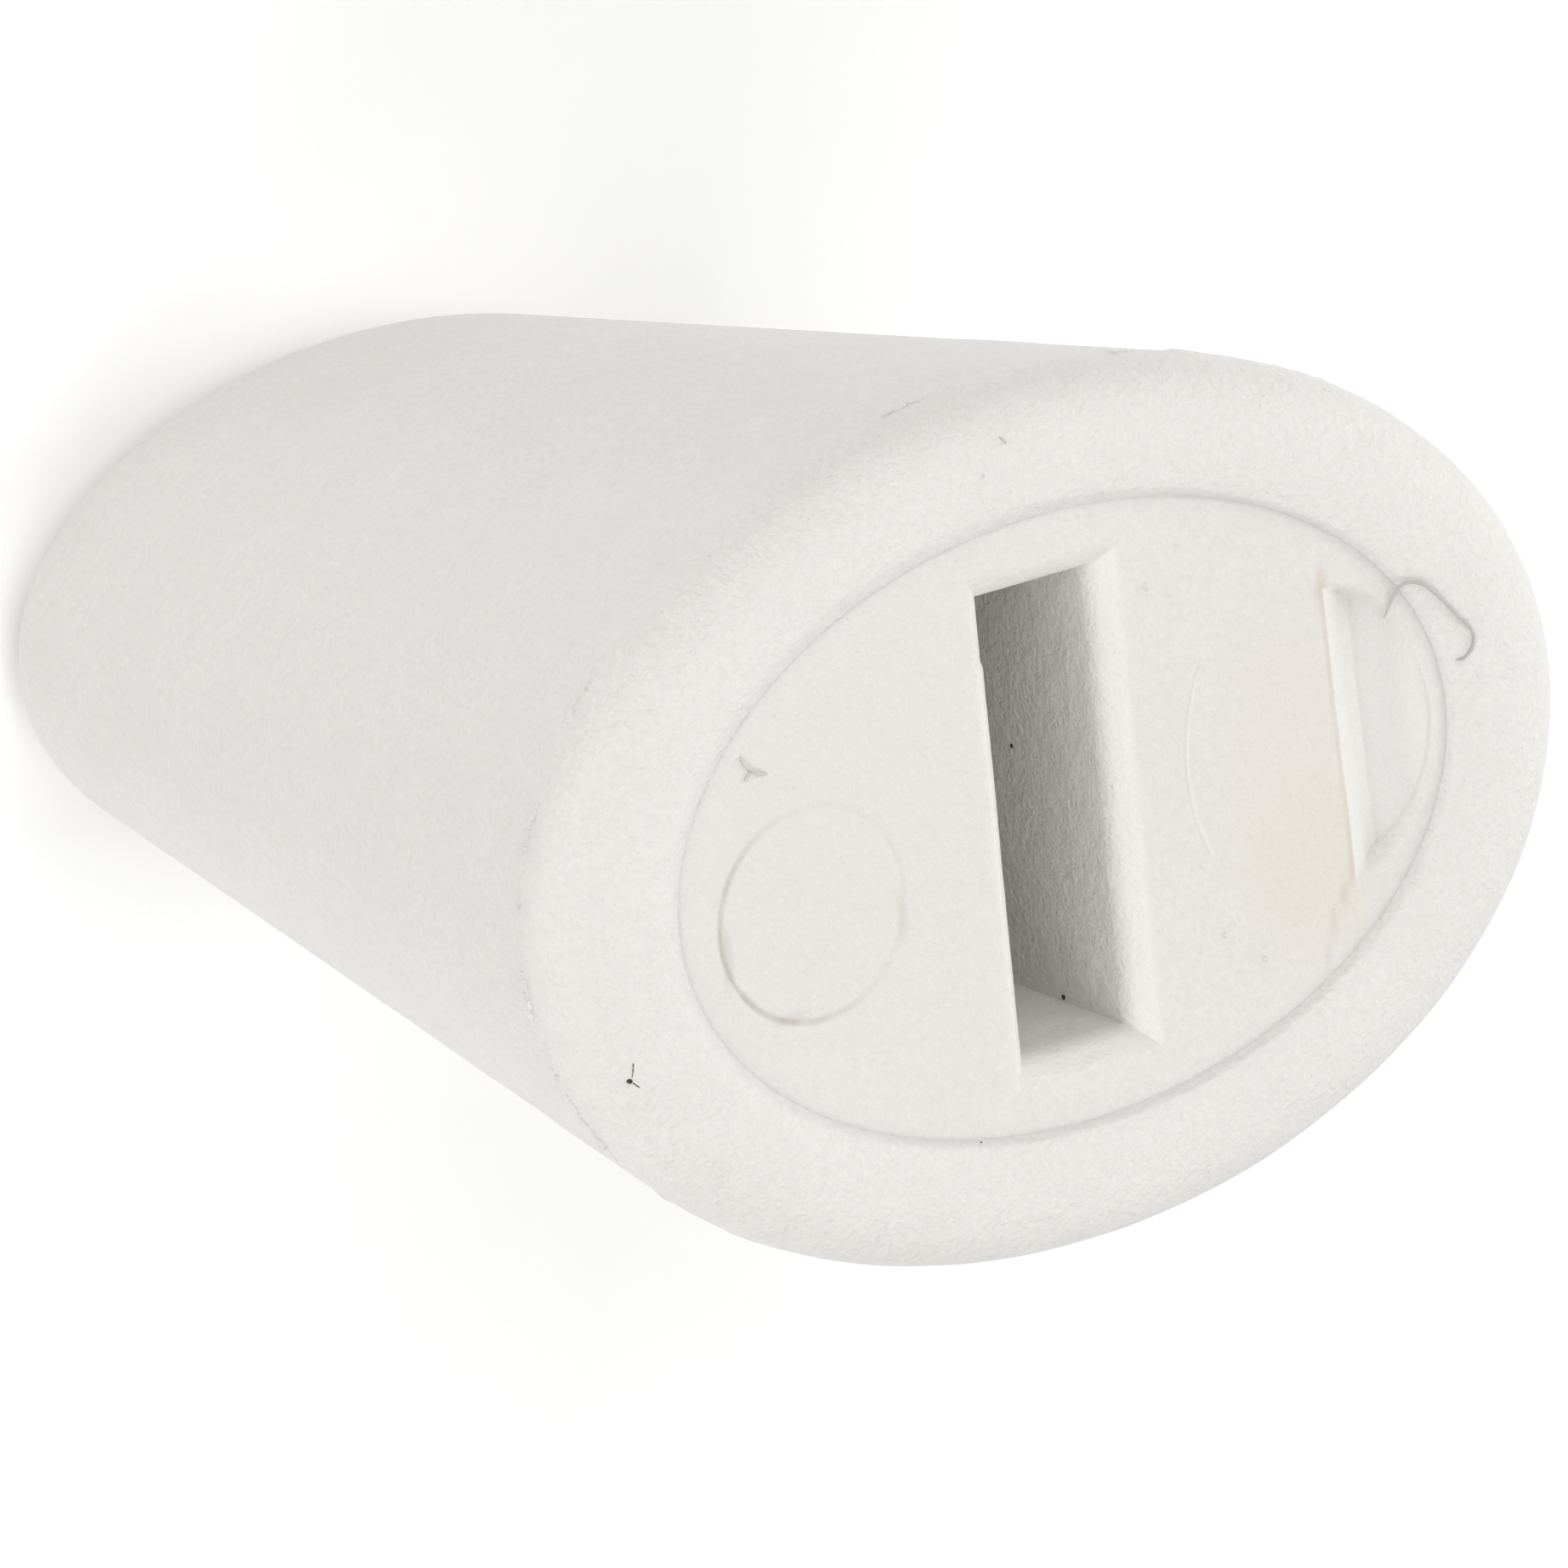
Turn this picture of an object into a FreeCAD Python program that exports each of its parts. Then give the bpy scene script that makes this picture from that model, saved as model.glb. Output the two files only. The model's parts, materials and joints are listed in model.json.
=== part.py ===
# Small oval push-on knob for a flat lever: an outer cap and the socket insert that fills its opening.
#
# Millimetres. The knob stands on its crown, with the centre of the crown at the origin.
# +Z runs along the socket and out of its mouth, X is the long axis of the oval, Y the short one.
import FreeCAD
import Part
import math
import os

# Outer cap: overall sizes
overall_height = 12.0        # crown to the crest of the rim
body_length = 10.87          # along X, at the parting line
body_width = 7.96            # along Y, at the parting line
crown_length = 7.65          # along X, where the flank would meet the crown plane
crown_width = 4.64           # along Y, the same
crown_edge_radius = 1.05     # rolled edge between the flank and the flat of the crown
rim_height = 0.6             # parting line to the crest of the rim
rim_fullness = 2.55          # 2 is an elliptical quarter round, more is squarer at the shoulder
rim_fall_width = 0.35        # the crest falls inwards over this width to the opening's edge
rim_fall_height = 0.08       # and by this much
rim_sections = 11            # outlines that carry the rim from the parting line to its crest
rim_fall_sections = 3        # outlines from the crest to the opening's edge

# Opening inside the rim
opening_length = 8.2         # along X, at its upper edge
opening_width = 5.55         # along Y, at its upper edge
recess_depth = 0.05          # the opening's edge down to the face of the insert
opening_draft = 1.0          # degrees, the opening narrows downwards

# Socket insert
insert_height = 6.2          # its face down to the seat in the cap
seam_gap = 0.015             # between insert and opening, all round
insert_lead_in = 0.25        # bevel round the insert's lower end

# Socket for the lever's flat end
blade_length = 4.16          # along Y
blade_thickness = 1.10       # along X
blade_clearance = 0.03       # each side, at the foot of the mouth bevel
blade_reach = 5.0            # how far the lever goes in below the insert's face
socket_end_room = 0.2        # left under the lever's end
socket_draft = 0.5           # degrees, the socket narrows downwards
mouth_bevel = 0.2            # width of the bevel round the mouth
mouth_bevel_depth = 0.24

# Ejector pin mark: a low disc left of the socket
pin_mark_diameter = 1.9
pin_mark_x = -2.73
pin_mark_y = -0.18
pin_mark_height = 0.03

# Gate disc right of the socket: a shallow ring, cut by the pocket where the gate was trimmed
gate_disc_diameter = 2.84
gate_disc_x = 2.59
gate_disc_y = 0.03
gate_disc_height = 0.015
gate_pocket_chord_x = 2.92   # where the pocket's straight edge crosses y = 0
gate_pocket_turn = 1.7       # degrees, the straight edge leans this much from Y
gate_pocket_depth = 0.18     # at the foot of the ramp
gate_pocket_slope = 0.40     # length along X of the ramp down from the straight edge
gate_pocket_rise = 0.13      # the floor climbs this much from the ramp's foot to the curved wall

cut_room = 1.0               # cutting tools run this far past a face


def oval(length, width, z):
    """Elliptical outline of the given size across X and Y, level at height z."""
    centre = FreeCAD.Vector(0, 0, z)
    long_end = FreeCAD.Vector(length / 2, 0, z)
    short_end = FreeCAD.Vector(0, width / 2, z)
    return Part.Wire(Part.Ellipse(long_end, short_end, centre).toShape())


def rectangle(size_x, size_y, z):
    """Rectangular outline centred on the Z axis, level at height z."""
    x = size_x / 2
    y = size_y / 2
    corners = [(-x, -y), (x, -y), (x, y), (-x, y), (-x, -y)]
    return Part.makePolygon([FreeCAD.Vector(cx, cy, z) for cx, cy in corners])


def straight_loft(lower, upper):
    """Solid with straight walls between two outlines."""
    return Part.makeLoft([lower, upper], True, True)


def narrowing(depth, degrees):
    """How much smaller a drafted hollow is across, this far down."""
    return 2 * depth * math.tan(math.radians(degrees))


parting_z = overall_height - rim_height
opening_edge_z = overall_height - rim_fall_height
insert_face_z = opening_edge_z - recess_depth
insert_seat_z = insert_face_z - insert_height


def opening_outline(z, gap):
    """The opening's outline at height z, drawn in by a gap all round."""
    shrink = narrowing(opening_edge_z - z, opening_draft) + 2 * gap
    return oval(opening_length - shrink, opening_width - shrink, z)


def flank():
    """Tapered oval body from the crown up to the parting line, its lower edge rolled."""
    crown = oval(crown_length, crown_width, 0)
    parting = oval(body_length, body_width, parting_z)
    body = straight_loft(crown, parting)
    crown_edges = [edge for edge in body.Edges if edge.BoundBox.ZMax < 0.001]
    return body.makeFillet(crown_edge_radius, crown_edges)


def rim():
    """Rounded rim: upright at the parting line, level at its crest, falling to the opening's edge."""
    crest_length = opening_length + 2 * rim_fall_width
    crest_width = opening_width + 2 * rim_fall_width
    outlines = []
    for step in range(rim_sections):
        angle = math.pi / 2 * step / (rim_sections - 1)
        out = math.cos(angle) ** (2 / rim_fullness)
        up = math.sin(angle) ** (2 / rim_fullness)
        length = crest_length + (body_length - crest_length) * out
        width = crest_width + (body_width - crest_width) * out
        outlines.append(oval(length, width, parting_z + rim_height * up))
    for step in range(1, rim_fall_sections + 1):
        inward = step / rim_fall_sections
        length = crest_length - 2 * rim_fall_width * inward
        width = crest_width - 2 * rim_fall_width * inward
        outlines.append(oval(length, width, overall_height - rim_fall_height * inward ** 2))
    return Part.makeLoft(outlines, True, False)


def outer_cap():
    """The cap: flank and rim in one piece, with the pocket that the insert is pushed into."""
    top_z = overall_height + cut_room
    pocket = straight_loft(opening_outline(insert_seat_z, 0), opening_outline(top_z, 0))
    return flank().fuse(rim()).cut(pocket).removeSplitter()


def insert_body():
    """Oval plug that fills the opening up to the recess, bevelled at its lower end."""
    bevel_z = insert_seat_z + insert_lead_in
    upper = straight_loft(opening_outline(bevel_z, seam_gap), opening_outline(insert_face_z, seam_gap))
    end_gap = seam_gap + insert_lead_in
    lower = straight_loft(opening_outline(insert_seat_z, end_gap), opening_outline(bevel_z, seam_gap))
    return upper.fuse(lower).removeSplitter()


def socket_hollow():
    """Blind drafted hollow for the lever's flat end, with a bevel round its mouth."""
    foot_x = blade_thickness + 2 * blade_clearance
    foot_y = blade_length + 2 * blade_clearance
    foot_z = insert_face_z - mouth_bevel_depth
    floor_z = insert_face_z - blade_reach - socket_end_room
    shrink = narrowing(foot_z - floor_z, socket_draft)
    shaft = straight_loft(rectangle(foot_x - shrink, foot_y - shrink, floor_z),
                          rectangle(foot_x, foot_y, foot_z))
    flare = 2 * mouth_bevel * (1 + cut_room / mouth_bevel_depth)
    mouth = straight_loft(rectangle(foot_x, foot_y, foot_z),
                          rectangle(foot_x + flare, foot_y + flare, insert_face_z + cut_room))
    return shaft.fuse(mouth)


def low_disc(diameter, x, y, height):
    """Disc standing this much proud of the insert's face."""
    centre = FreeCAD.Vector(x, y, insert_face_z - height)
    return Part.makeCylinder(diameter / 2, 2 * height, centre)


def gate_pocket():
    """D-shaped pocket: a ramp down from a straight edge, a gently climbing floor, a curved wall."""
    radius = gate_disc_diameter / 2
    foot_z = insert_face_z - gate_pocket_depth
    base = FreeCAD.Vector(gate_disc_x, gate_disc_y, foot_z)
    round_wall = Part.makeCylinder(radius, gate_pocket_depth + cut_room, base)
    ramp_back = gate_pocket_slope * cut_room / gate_pocket_depth
    floor_end = gate_disc_x + radius - gate_pocket_chord_x
    profile = [(-ramp_back, insert_face_z + cut_room), (gate_pocket_slope, foot_z),
               (floor_end, foot_z + gate_pocket_rise), (floor_end + radius, insert_face_z + cut_room)]
    points = [FreeCAD.Vector(x, -gate_disc_diameter, z) for x, z in profile]
    face = Part.Face(Part.makePolygon(points + points[:1]))
    wedge = face.extrude(FreeCAD.Vector(0, 2 * gate_disc_diameter, 0))
    wedge.rotate(FreeCAD.Vector(0, 0, 0), FreeCAD.Vector(0, 0, 1), gate_pocket_turn)
    wedge.translate(FreeCAD.Vector(gate_pocket_chord_x, 0, 0))
    return round_wall.common(wedge)


def socket_insert():
    """The insert with its socket, pin mark, gate disc and gate pocket."""
    body = insert_body()
    body = body.fuse(low_disc(pin_mark_diameter, pin_mark_x, pin_mark_y, pin_mark_height))
    body = body.fuse(low_disc(gate_disc_diameter, gate_disc_x, gate_disc_y, gate_disc_height))
    return body.cut(socket_hollow()).cut(gate_pocket()).removeSplitter()


def write(name, shape):
    """Checks that the piece is one closed solid and writes its STEP file."""
    if len(shape.Solids) != 1 or not shape.isValid():
        raise RuntimeError(name + " is not one valid solid")
    shape.Solids[0].exportStep(os.path.join("parts", name + ".step"))
    box = shape.optimalBoundingBox(False)
    print(f"{name}: {shape.Volume:.1f} mm3, x {box.XMin:.3f} {box.XMax:.3f}, "
          f"y {box.YMin:.3f} {box.YMax:.3f}, z {box.ZMin:.3f} {box.ZMax:.3f}")


os.makedirs("parts", exist_ok=True)
write("outer_cap", outer_cap())
write("socket_insert", socket_insert())
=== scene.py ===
import json
import math

import bmesh
import bpy
import numpy as np
from mathutils import Matrix, Vector
from mathutils.bvhtree import BVHTree


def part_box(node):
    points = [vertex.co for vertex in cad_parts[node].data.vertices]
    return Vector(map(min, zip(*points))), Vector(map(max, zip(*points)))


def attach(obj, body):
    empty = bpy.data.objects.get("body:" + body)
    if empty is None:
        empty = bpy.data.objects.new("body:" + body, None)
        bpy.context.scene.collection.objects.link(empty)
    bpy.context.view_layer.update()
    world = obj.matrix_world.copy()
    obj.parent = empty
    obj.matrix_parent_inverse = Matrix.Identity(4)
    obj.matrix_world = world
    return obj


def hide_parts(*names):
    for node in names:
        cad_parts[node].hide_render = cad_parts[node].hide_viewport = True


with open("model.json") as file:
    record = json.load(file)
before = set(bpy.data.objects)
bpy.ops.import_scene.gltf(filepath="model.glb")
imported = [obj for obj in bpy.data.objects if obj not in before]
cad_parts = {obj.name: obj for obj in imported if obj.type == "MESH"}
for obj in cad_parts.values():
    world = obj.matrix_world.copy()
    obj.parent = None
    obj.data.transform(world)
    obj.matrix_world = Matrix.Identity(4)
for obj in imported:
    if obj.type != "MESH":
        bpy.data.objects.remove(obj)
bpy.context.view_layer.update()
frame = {"record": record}

# A push-on knob: a tapered oval cap and the socket insert in its mouth. The frame is in metres,
# +Z out of the socket, X along the oval. Sizes below are in millimetres, turned into metres by MM.
MM = 0.001

cap_low, cap_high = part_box("outer_cap")
insert_low, insert_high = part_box("socket_insert")
mounts = {mount["name"]: mount for mount in frame["record"]["mounts"]}

# Cap, as the design has it
TOP_Z = cap_high.z / MM
HALF_LENGTH = cap_high.x / MM
HALF_WIDTH = cap_high.y / MM
RIM_HEIGHT = 0.6
RIM_FULLNESS = 2.55
RIM_FALL_WIDTH = 0.35
RIM_FALL_HEIGHT = 0.08
CROWN_HALF_LENGTH = 3.825                   # where flank and crown would meet without the rounded edge
CROWN_HALF_WIDTH = 2.32
CROWN_EDGE_RADIUS = 1.05
OPENING_HALF_LENGTH = 4.1
OPENING_HALF_WIDTH = 2.775
OPENING_DRAFT = math.tan(math.radians(1.0))
PARTING_Z = TOP_Z - RIM_HEIGHT
OPENING_Z = TOP_Z - RIM_FALL_HEIGHT
EDGE_ROLL_WIDTH = 0.07                      # the rim rolls down to the face over this
EDGE_ROLL_EXTRA = 0.20                      # and over this much more at its softest bearing
SOFTEST_BEARING = math.radians(150)         # angle round the oval where the roll is widest
CAP_STEPS_ROUND = 620
RIM_RING_OFFSETS = (0.30, 0.25, 0.21, 0.18, 0.155, 0.13, 0.11, 0.09, 0.075, 0.062, 0.05, 0.04, 0.03, 0.02,
                    0.01, 0.0)              # how far outside the opening each ring of the rim's fall lies

# Surface unevenness of the cap: (wavelength, height, seed) of each layer, and where the layers fade
FLANK_WAVES = [(1.6, 0.0030, 11), (0.5, 0.0010, 12)]
PARTING_WAVES = (0.25, 0.008, 13)
PARTING_RIDGE = (-0.002, 0.02)              # lowest and highest of the ragged ridge on the parting line
PARTING_RIDGE_WIDTH = 0.03
RIM_WAVES = (1.1, 0.0020, 14)
RIM_WAVES_HIGHEST = 0.001
FLANK_FADE_IN = (0.05, 0.6)
FLANK_FADE_OUT = (11.8, 11.98)
RIM_FADE_IN = (11.85, 11.97)
RIM_INNER_FADE = (1.02, 1.06)               # in shares of the opening's size
FLANK_INNER_LIMIT = 1.15

# Insert, as the design has it
FACE_Z = mounts["lever_socket"]["pos_m"][2] / MM
SEAT_Z = insert_low.z / MM
SEAM_GAP = 0.0003                           # a light press fit, closer than the design's clearance
LEAD_IN = 0.25
FACE_HALF_LENGTH = OPENING_HALF_LENGTH - SEAM_GAP
FACE_HALF_WIDTH = OPENING_HALF_WIDTH - SEAM_GAP
SOCKET_HALF_X = 0.58
SOCKET_HALF_Y = 2.11
SOCKET_DEPTH = 5.2
SOCKET_DRAFT = math.tan(math.radians(0.5))
SOCKET_FLOOR_Z = FACE_Z - SOCKET_DEPTH
MOUTH_BEVEL = 0.2
MOUTH_BEVEL_DEPTH = 0.24
MOUTH_HALF_X = SOCKET_HALF_X + MOUTH_BEVEL
MOUTH_HALF_Y = SOCKET_HALF_Y + MOUTH_BEVEL
BEVEL_FOOT_Z = FACE_Z - MOUTH_BEVEL_DEPTH
BEVEL_FOOT_BREAK = 0.13                     # the wall starts to lean out this far under the bevel's foot
BEVEL_STRAIGHT_FROM = 0.09                  # and meets the straight bevel this far out
BEVEL_SOFTNESS = 0.026                      # how gradually the bevel runs out into the face
LONG_SIDE_STEPS = 214
SHORT_SIDE_STEPS = 56
PIN_MARK = (-2.73, -0.18, 0.95)             # centre x, centre y, radius
GATE_DISC = (2.59, 0.03, 1.42)              # the same, round the gate
GATE_ARC = (3.26, 0.09, 1.98)               # the left part of the disc's edge, which is flatter than the disc
POCKET_CHORD_X = 2.92
POCKET_TURN = math.radians(1.7)
POCKET_DEPTH = 0.18
POCKET_SLOPE = 0.40
POCKET_RISE = 0.13
FLOW_LINE = [(2.92, -1.33), (2.74, -1.55), (2.66, -1.75), (2.60, -1.95), (2.59, -2.10)]
FLOW_LINE_DEPTH = 0.012
FLOW_LINE_WIDTH = 0.03
WALL_STEP_HEIGHT = 0.022                    # the socket's left wall stands this far in below WALL_STEP_START
WALL_STEP_START = (1.50, 1.56)
FACE_WAVES = [(1.3, 0.0025, 21), (0.3, 0.0007, 22)]
FACE_WAVES_FADE = (0.95, 0.995)             # in shares of the face's size

# Colours of the plastic and of what sits on it, with painted light and shade on the insert's face
CAP_WHITE = (0.800, 0.786, 0.758)
CAP_SHADE = (0.790, 0.768, 0.745)
INSERT_WHITE = (0.778, 0.757, 0.728)
INSERT_SHADE = (0.760, 0.744, 0.712)
# Painted light on the gate pocket's ramp and upper floor, painted shade on its lower floor
RAMP_PAINTED_LIGHT = (0.812, 0.797, 0.765)
POCKET_PAINTED_SHADE = (0.728, 0.714, 0.690)
POCKET_PAINTED_LIGHT = (0.800, 0.786, 0.756)
# Painted light on the socket mouth's bevel
BEVEL_PAINTED_LIGHT = (0.830, 0.814, 0.782)
# Painted shade and painted highlight along the gate disc's fine edge lines
ARC_PAINTED_SHADE = (0.640, 0.620, 0.585)
ARC_PAINTED_HIGHLIGHT = (0.850, 0.835, 0.805)
CHORD_TAN = (0.640, 0.590, 0.520)
# Grime and painted shade in the pin mark's groove
GRIME_AND_PAINTED_SHADE = (0.47, 0.44, 0.40)

# Stains on the face: centre x, centre y, half width, half height, softness, strength, colour
STAINS = [(-2.30, 0.60, 1.60, 1.90, 0.60, 0.60, (0.750, 0.733, 0.706)),
          (2.35, -0.25, 0.75, 1.60, 0.50, 0.60, (0.760, 0.722, 0.660)),
          (2.55, -1.05, 0.60, 0.70, 0.60, 0.55, (0.755, 0.703, 0.615)),
          (2.89, 1.40, 0.07, 0.15, 0.80, 0.65, (0.640, 0.530, 0.440)),
          (2.90, 0.95, 0.025, 0.45, 0.60, 0.50, (0.690, 0.600, 0.510)),
          (2.96, -0.95, 0.030, 0.40, 0.60, 0.60, (0.680, 0.590, 0.460)),
          (2.93, -1.25, 0.035, 0.14, 0.80, 0.50, (0.650, 0.560, 0.430)),
          (2.84, -1.42, 0.05, 0.12, 0.80, 0.55, (0.650, 0.590, 0.500)),
          (2.70, -1.66, 0.045, 0.16, 0.80, 0.50, (0.650, 0.600, 0.530)),
          (2.62, -1.92, 0.045, 0.16, 0.80, 0.40, (0.670, 0.630, 0.570)),
          (-1.82, -0.45, 0.05, 0.20, 0.80, 0.45, (0.640, 0.590, 0.530)),
          (-3.06, -1.06, 0.16, 0.05, 0.80, 0.45, (0.600, 0.550, 0.490)),
          (-3.65, -0.33, 0.05, 0.26, 0.80, 0.50, (0.560, 0.520, 0.470))]

# Camera, at the photograph's viewing angle: a long lens over the face, rolled so the knob lies on its side
CAMERA_DISTANCE = 168.8
CAMERA_AZIMUTH = 150.04
CAMERA_ELEVATION = 53.854
CAMERA_ROLL = -109.226
CAMERA_AIM = (0.445, -0.874, 6.601)
CAMERA_LENS = 430.3

# Softboxes all round the knob: azimuth, elevation and power of each
SOFTBOX_DISTANCE = 140
SOFTBOX_SIZE = 90
SOFTBOXES = [(120, 60, 0.0620), (180, 60, 0.0080), (240, 60, 0.0700), (0, 30, 0.0540), (45, 30, 0.0080),
             (90, 30, 0.0480), (180, 30, 0.0420), (225, 30, 0.0230), (270, 30, 0.0280), (0, 8, 0.0970),
             (90, 8, 0.0030), (180, 8, 0.0160)]
SOFTBOX_AIM = (0, 0, 8)


def smooth_step(value, low, high):
    t = np.clip((value - low) / (high - low), 0.0, 1.0)
    return t * t * (3 - 2 * t)


def mesh_object(name, vertices, faces, sharp_degrees=None):
    """A mesh object from points in millimetres."""
    mesh = bpy.data.meshes.new(name)
    mesh.from_pydata((np.asarray(vertices, float) * MM).tolist(), [], faces)
    mesh.validate()
    mesh.polygons.foreach_set("use_smooth", [True] * len(mesh.polygons))
    if sharp_degrees is not None:
        mesh.set_sharp_from_angle(angle=math.radians(sharp_degrees))
    mesh.update()
    obj = bpy.data.objects.new(name, mesh)
    bpy.context.scene.collection.objects.link(obj)
    return obj


def closed_loft(rings, low_centre, high_centre):
    """Points and faces of a closed skin through rings of equal count, with a fan at each end."""
    count = len(rings[0])
    points = np.concatenate([np.asarray(ring, float) for ring in rings] + [[low_centre], [high_centre]])
    low_index = len(points) - 2
    high_index = len(points) - 1
    last = (len(rings) - 1) * count
    faces = []
    for row in range(len(rings) - 1):
        a = row * count
        b = a + count
        for i in range(count):
            j = (i + 1) % count
            faces.append((a + i, a + j, b + j, b + i))
    for i in range(count):
        j = (i + 1) % count
        faces.append((low_index, j, i))
        faces.append((high_index, last + i, last + j))
    return points, faces


def waves(points, wavelength, amplitude, seed, count=14):
    """A smooth random field over the points: a sum of plane waves of about one wavelength."""
    local = np.random.default_rng(seed)
    total = np.zeros(len(points))
    for _ in range(count):
        direction = local.normal(size=3)
        direction /= np.linalg.norm(direction)
        size = 2 * math.pi / (wavelength * local.uniform(0.7, 1.5))
        total += np.sin(points @ direction * size + local.uniform(0, 2 * math.pi))
    return total * amplitude / math.sqrt(count / 2)


# Outer cap

def cap_profile():
    """(half length, half width, z) of each ring, from the crown's middle round to the seat's middle."""
    taper = math.atan2(HALF_LENGTH - CROWN_HALF_LENGTH, PARTING_Z)
    inset = CROWN_EDGE_RADIUS / math.cos(taper) - CROWN_EDGE_RADIUS * math.tan(taper)
    flat_x = CROWN_HALF_LENGTH - inset
    flat_y = CROWN_HALF_WIDTH - inset
    profile = [(flat_x * s, flat_y * s, 0.0) for s in (0.15, 0.5, 0.8, 0.95, 1.0)]
    for angle in np.linspace(-math.pi / 2, -taper, 17)[1:]:
        out = CROWN_EDGE_RADIUS * math.cos(angle)
        profile.append((flat_x + out, flat_y + out, CROWN_EDGE_RADIUS * (1 + math.sin(angle))))
    start = profile[-1]
    near_parting = 1 - np.array([0.15, 0.09, 0.06, 0.04, 0.02, 0.0]) / (PARTING_Z - start[2])
    for t in np.concatenate([np.linspace(0, 1, 45)[1:-1], near_parting]):
        profile.append((start[0] + (HALF_LENGTH - start[0]) * t, start[1] + (HALF_WIDTH - start[1]) * t,
                        start[2] + (PARTING_Z - start[2]) * t))
    crest_x = OPENING_HALF_LENGTH + RIM_FALL_WIDTH
    crest_y = OPENING_HALF_WIDTH + RIM_FALL_WIDTH
    for angle in np.linspace(0, math.pi / 2, 46)[1:]:
        out = max(math.cos(angle), 0) ** (2 / RIM_FULLNESS)
        up = math.sin(angle) ** (2 / RIM_FULLNESS)
        profile.append((crest_x + (HALF_LENGTH - crest_x) * out, crest_y + (HALF_WIDTH - crest_y) * out,
                        PARTING_Z + RIM_HEIGHT * up))
    for out in RIM_RING_OFFSETS:
        fall = RIM_FALL_HEIGHT * (1 - out / RIM_FALL_WIDTH) ** 2
        profile.append((OPENING_HALF_LENGTH + out, OPENING_HALF_WIDTH + out, TOP_Z - fall))
    for z in (FACE_Z - 0.03, FACE_Z - 0.1, 11.0, 9.5, 7.5, SEAT_Z):
        shrink = (FACE_Z - z) * OPENING_DRAFT
        profile.append((OPENING_HALF_LENGTH - shrink, OPENING_HALF_WIDTH - shrink, z))
    end = profile[-1]
    for s in (0.7, 0.35, 0.1):
        profile.append((end[0] * s, end[1] * s, SEAT_Z))
    return profile


def edge_roll(out, angles):
    """How far the rim rolls down towards the face, this far outside the opening."""
    soft = np.clip(np.cos(angles - SOFTEST_BEARING), 0, 1)
    width = EDGE_ROLL_WIDTH + EDGE_ROLL_EXTRA * soft
    return (OPENING_Z - FACE_Z) * (1 - smooth_step(out / width, 0, 1))


def roughen_cap(points):
    """Moves the points a little: waves on flank and rim, and a ragged ridge on the parting line."""
    outward = points * [1, 1, 0]
    outward /= np.maximum(np.linalg.norm(outward, axis=1, keepdims=True), 1e-6)
    z = points[:, 2].copy()
    across = np.hypot(points[:, 0] / OPENING_HALF_LENGTH, points[:, 1] / OPENING_HALF_WIDTH)
    on_flank = smooth_step(z, *FLANK_FADE_IN) * (across > FLANK_INNER_LIMIT)
    on_flank = on_flank * (1 - smooth_step(z, *FLANK_FADE_OUT))
    on_rim = smooth_step(z, *RIM_FADE_IN) * smooth_step(across, *RIM_INNER_FADE)
    push = sum(waves(points, *layer) for layer in FLANK_WAVES)
    ridge = np.exp(-((z - PARTING_Z) / PARTING_RIDGE_WIDTH) ** 2)
    push += ridge * np.clip(waves(points, *PARTING_WAVES), *PARTING_RIDGE)
    points += outward * (push * on_flank)[:, None]
    points[:, 2] += np.minimum(waves(points, *RIM_WAVES), RIM_WAVES_HIGHEST) * on_rim


def make_cap():
    angles = np.linspace(0, 2 * math.pi, CAP_STEPS_ROUND, endpoint=False)
    rings = []
    for half_x, half_y, z in cap_profile():
        heights = np.full(len(angles), z)
        if z >= OPENING_Z:
            heights -= edge_roll(half_x - OPENING_HALF_LENGTH, angles)
        rings.append(np.stack([half_x * np.cos(angles), half_y * np.sin(angles), heights], 1))
    points, faces = closed_loft(rings, (0, 0, 0), (0, 0, SEAT_Z))
    roughen_cap(points)
    return mesh_object("cap_skin", points, faces, 50)


# Socket insert

def slot_rays():
    """Angles round the oval whose rays meet the mouth's four corners exactly."""
    corner = math.atan2(MOUTH_HALF_Y * FACE_HALF_LENGTH, MOUTH_HALF_X * FACE_HALF_WIDTH)
    sectors = [(-corner, corner, LONG_SIDE_STEPS), (corner, math.pi - corner, SHORT_SIDE_STEPS),
               (math.pi - corner, math.pi + corner, LONG_SIDE_STEPS),
               (math.pi + corner, 2 * math.pi - corner, SHORT_SIDE_STEPS)]
    return np.concatenate([side_angles(a, b, n) for a, b, n in sectors])


def side_angles(start, end, count):
    """Angles whose rays meet a straight side of the mouth at even steps."""
    middle = (start + end) / 2
    flat = abs(math.sin(middle)) > 0.5
    ratio = FACE_HALF_WIDTH / FACE_HALF_LENGTH
    stretch = 1 / ratio if flat else ratio
    half = math.atan(stretch * math.tan((end - start) / 2))
    steps = np.linspace(-math.tan(half), math.tan(half), count, endpoint=False)
    return middle + np.arctan(steps / stretch)


def rectangle_ring(angles, half_x, half_y, z):
    """Points where the mouth's rays meet a rectangle of this size, with the mouth's own corners kept."""
    ray_x = FACE_HALF_LENGTH * np.cos(angles)
    ray_y = FACE_HALF_WIDTH * np.sin(angles)
    reach = np.minimum(MOUTH_HALF_X / np.maximum(np.abs(ray_x), 1e-9),
                       MOUTH_HALF_Y / np.maximum(np.abs(ray_y), 1e-9))
    x = ray_x * reach * half_x / MOUTH_HALF_X
    y = ray_y * reach * half_y / MOUTH_HALF_Y
    return np.stack([x, y, np.full(len(angles), z)], 1)


def hump(distance, width):
    """1 at no distance, falling off smoothly over about the width."""
    return np.exp(-(distance / width) ** 2)


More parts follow.
